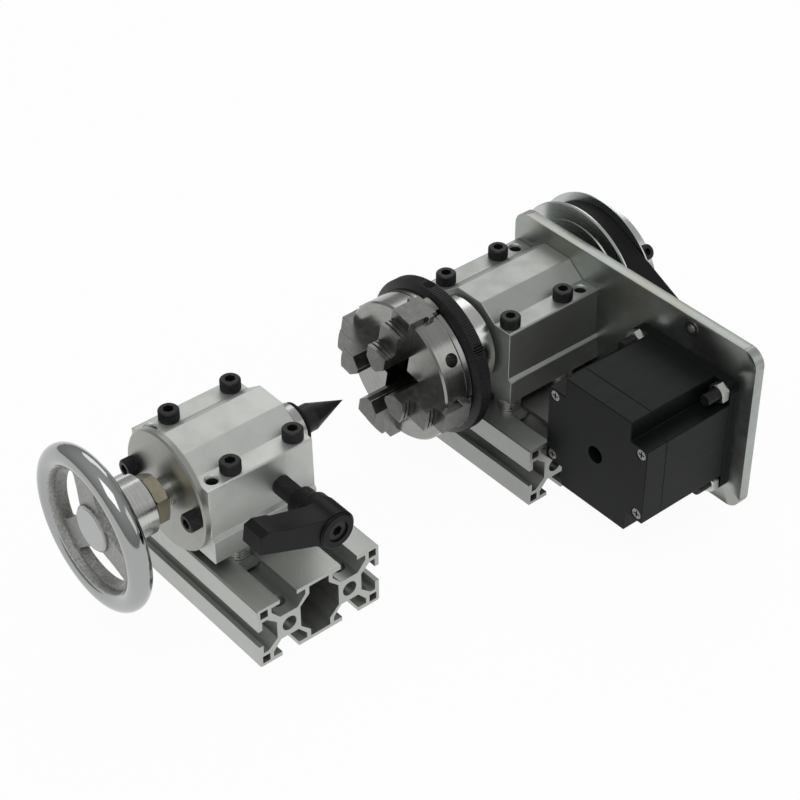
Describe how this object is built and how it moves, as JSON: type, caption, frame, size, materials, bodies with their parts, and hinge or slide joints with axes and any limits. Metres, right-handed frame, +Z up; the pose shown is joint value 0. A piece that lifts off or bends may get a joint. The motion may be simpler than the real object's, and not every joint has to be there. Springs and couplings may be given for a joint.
{
  "type": "cnc rotary axis",
  "caption": "Belt-driven rotary headstock with a stepped-jaw scroll chuck and a matching screw-fed tailstock with a turning centre, handwheel and clamp lever, on slot profiles",
  "frame": {"origin": "On the table under the spindle, in the middle of the headstock's base profile", "axes": "+X along the spindle from the chuck towards the motor plate, +Y away from the motor and the clamp lever, +Z up"},
  "size_m": [0.2813, 0.1661, 0.0938],
  "materials": {
    "profile_aluminium": "satin anodised extrusion",
    "housing_aluminium": "bead blasted and clear anodised",
    "pulley_aluminium": "clear anodised",
    "zinc_steel": "bright zinc plated",
    "plate_steel": "ground and plated, slightly cloudy",
    "black_oxide": "black oxide steel",
    "motor_black": "satin black motor casing",
    "chuck_steel": "ground steel",
    "jaw_steel": "hardened ground steel",
    "shaft_steel": "turned steel",
    "nut_steel": "dull yellowish plated steel",
    "belt_rubber": "black timing belt",
    "seal_rubber": "black seal",
    "wheel_chrome": "chromed casting, bright rim and rough web",
    "lever_plastic": "textured black"
  },
  "bodies": {
    "headstock_frame": {"headstock_profile": "profile_aluminium", "headstock_washers": "zinc_steel", "headstock_tee_nuts": "zinc_steel", "headstock_bolts": "black_oxide", "headstock_housing": "housing_aluminium", "spindle_bearings": "shaft_steel", "motor_plate": "plate_steel", "plate_screws": "black_oxide", "plate_insert": "zinc_steel", "motor_flange": "motor_black", "motor_body": "motor_black", "motor_rear_cap": "motor_black", "motor_cap_screws": "zinc_steel", "motor_bolts": "black_oxide", "motor_nuts": "zinc_steel", "motor_grommet": "seal_rubber", "drive_belt": "belt_rubber"},
    "spindle": {"spindle_shaft": "shaft_steel", "chuck_body": "chuck_steel", "chuck_back_plate": "chuck_steel", "chuck_screws": "black_oxide", "spindle_pulley": "pulley_aluminium", "pulley_flanges": "pulley_aluminium", "pulley_clamp_screw": "black_oxide"},
    "motor_rotor": {"motor_shaft": "shaft_steel", "motor_pulley": "pulley_aluminium", "motor_pulley_screw": "black_oxide"},
    "scroll": {"scroll_ring": "black_oxide"},
    "jaw_1": {"chuck_jaw_1": "jaw_steel"},
    "jaw_2": {"chuck_jaw_2": "jaw_steel"},
    "jaw_3": {"chuck_jaw_3": "jaw_steel"},
    "jaw_4": {"chuck_jaw_4": "jaw_steel"},
    "tailstock_frame": {"tailstock_profile": "profile_aluminium", "tailstock_washers": "zinc_steel", "tailstock_tee_nuts": "zinc_steel", "tailstock_bolts": "black_oxide", "tailstock_housing": "housing_aluminium", "end_disc": "shaft_steel", "end_disc_screws": "black_oxide"},
    "quill_unit": {"quill": "shaft_steel", "centre_seal": "seal_rubber"},
    "live_centre": {"turning_centre": "black_oxide"},
    "wheel": {"feed_screw": "shaft_steel", "lock_nut": "nut_steel", "wheel_hub": "shaft_steel", "handwheel": "wheel_chrome"},
    "lever_stud": {"clamp_stud": "black_oxide", "lever_screw": "black_oxide", "lever_spring": "shaft_steel"},
    "lever": {"clamp_lever": "lever_plastic"}
  },
  "joints": [
    {"name": "spindle_spin", "type": "hinge", "parent": "headstock_frame", "child": "spindle", "pos_m": [0, 0, 0.057], "axis": [1, 0, 0], "continuous": true},
    {"name": "motor_spin", "type": "hinge", "parent": "headstock_frame", "child": "motor_rotor", "pos_m": [0, -0.07966, 0.0419], "axis": [1, 0, 0], "continuous": true},
    {"name": "scroll_turn", "type": "hinge", "parent": "spindle", "child": "scroll", "pos_m": [0, 0, 0.057], "axis": [1, 0, 0], "range_deg": [-540, 780]},
    {"name": "jaw_1_slide", "type": "slide", "parent": "spindle", "child": "jaw_1", "axis": [0, 0.9816, 0.1908], "range_m": [-0.00652, 0.00452]},
    {"name": "jaw_2_slide", "type": "slide", "parent": "spindle", "child": "jaw_2", "axis": [0, -0.1908, 0.9816], "range_m": [-0.00652, 0.00452]},
    {"name": "jaw_3_slide", "type": "slide", "parent": "spindle", "child": "jaw_3", "axis": [0, -0.9816, -0.1908], "range_m": [-0.00652, 0.00452]},
    {"name": "jaw_4_slide", "type": "slide", "parent": "spindle", "child": "jaw_4", "axis": [0, 0.1908, -0.9816], "range_m": [-0.00652, 0.00452]},
    {"name": "tailstock_position", "type": "slide", "parent": "headstock_frame", "child": "tailstock_frame", "axis": [1, 0, 0], "range_m": [-0.2, 0]},
    {"name": "handwheel_turn", "type": "hinge", "parent": "tailstock_frame", "child": "wheel", "pos_m": [0, 0, 0.057], "axis": [1, 0, 0], "range_deg": [-1800, 2880]},
    {"name": "quill_slide", "type": "slide", "parent": "tailstock_frame", "child": "quill_unit", "axis": [1, 0, 0], "range_m": [-0.00876, 0.01401]},
    {"name": "centre_spin", "type": "hinge", "parent": "quill_unit", "child": "live_centre", "pos_m": [-0.1, 0, 0.057], "axis": [1, 0, 0], "continuous": true},
    {"name": "clamp_turn", "type": "hinge", "parent": "tailstock_frame", "child": "lever_stud", "pos_m": [-0.1402, -0.04, 0.057], "axis": [0, -1, 0], "range_deg": [-140, 30]},
    {"name": "lever_lift", "type": "slide", "parent": "lever_stud", "child": "lever", "axis": [0, -1, 0], "range_m": [0, 0.003], "stiffness_N_per_m": 1500, "springref_m": -0.002, "deforming": ["lever_spring"]}
  ],
  "couplings": [
    {"joint": "motor_spin", "follows": "spindle_spin", "ratio": 2.8571},
    {"joint": "jaw_1_slide", "follows": "scroll_turn", "m_per_rad": -0.00047746},
    {"joint": "jaw_2_slide", "follows": "scroll_turn", "m_per_rad": -0.00047746},
    {"joint": "jaw_3_slide", "follows": "scroll_turn", "m_per_rad": -0.00047746},
    {"joint": "jaw_4_slide", "follows": "scroll_turn", "m_per_rad": -0.00047746},
    {"joint": "quill_slide", "follows": "handwheel_turn", "m_per_rad": 0.00027852}
  ]
}
